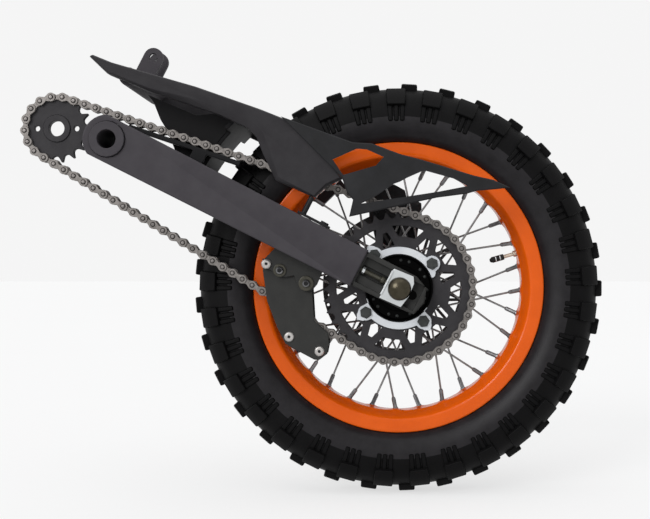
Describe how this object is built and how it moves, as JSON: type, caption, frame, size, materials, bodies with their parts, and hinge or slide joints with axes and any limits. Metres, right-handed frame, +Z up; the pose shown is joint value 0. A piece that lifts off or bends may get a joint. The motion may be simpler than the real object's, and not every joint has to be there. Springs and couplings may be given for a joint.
{
  "type": "pit bike rear swingarm and wheel assembly",
  "caption": "Trussed rear swingarm with spoked knobbly-tyred wheel, chain drive, chain guide and guard, axle adjusters and disc brake; wheel and front sprocket turn together.",
  "frame": {"origin": "on the left end face of the swingarm's pivot tube, on its ring of metal just above the bore; the pivot axis runs along Y, 14.5 mm below it", "axes": "+X towards the rear of the machine, +Y towards its right side, +Z up; the chain is on the -Y side"},
  "size_m": [0.6463, 0.2126, 0.5028],
  "materials": {
    "arm_paint": "matt charcoal powder coat",
    "black_paint": "semi-gloss black paint",
    "guard_plastic": "matt dark grey",
    "nylon": "moulded black nylon",
    "zinc": "bright zinc plating",
    "bronze_steel": "dark bronze plating",
    "chain_steel": "oiled plain steel",
    "sprocket_steel": "dark phosphated steel",
    "ring_alloy": "machined aluminium",
    "hub_paint": "gloss black",
    "rim_paint": "gloss orange anodised look",
    "rubber": "matt black rubber",
    "disc_steel": "ground steel",
    "caliper_paint": "satin black",
    "brass": "plain brass"
  },
  "bodies": {
    "swingarm": {"pivot_tube": "arm_paint", "spar_left": "arm_paint", "spar_right": "arm_paint", "truss_left": "arm_paint", "truss_right": "arm_paint", "lower_cross_tube": "arm_paint", "upper_cross_tube": "arm_paint", "cross_shell": "arm_paint", "web_left": "arm_paint", "web_right": "arm_paint", "shock_clevis": "arm_paint", "dropout_left": "arm_paint", "dropout_right": "arm_paint", "axle_block_left": "zinc", "axle_block_right": "zinc", "adjuster_left": "zinc", "adjuster_right": "zinc", "axle": "bronze_steel", "axle_nut": "zinc", "wheel_spacer_left": "zinc", "wheel_spacer_right": "zinc", "chain": "chain_steel", "chain_slider": "nylon", "chain_guard": "guard_plastic", "chain_guide_outer": "guard_plastic", "chain_guide_inner": "guard_plastic", "chain_guide_block": "nylon", "chain_guide_bracket": "black_paint", "stay_rod": "black_paint", "caliper": "caliper_paint", "caliper_bracket": "black_paint"},
    "wheel": {"tyre": "rubber", "rim": "rim_paint", "hub_and_spokes": "hub_paint", "rear_sprocket": "sprocket_steel", "lock_plate_upper": "ring_alloy", "lock_plate_lower": "ring_alloy", "brake_disc": "disc_steel", "valve_stem": "brass"},
    "front_sprocket": {"front_sprocket": "sprocket_steel"}
  },
  "joints": [
    {"name": "wheel_spin", "type": "hinge", "parent": "swingarm", "child": "wheel", "pos_m": [0.31068, 0.098, -0.1735], "axis": [0, 1, 0], "continuous": true},
    {"name": "front_sprocket_spin", "type": "hinge", "parent": "swingarm", "child": "front_sprocket", "pos_m": [-0.0639, 0.044, 0.0012], "axis": [0, 1, 0], "continuous": true}
  ],
  "couplings": [
    {"joint": "front_sprocket_spin", "follows": "wheel_spin", "ratio": 2.3529}
  ]
}
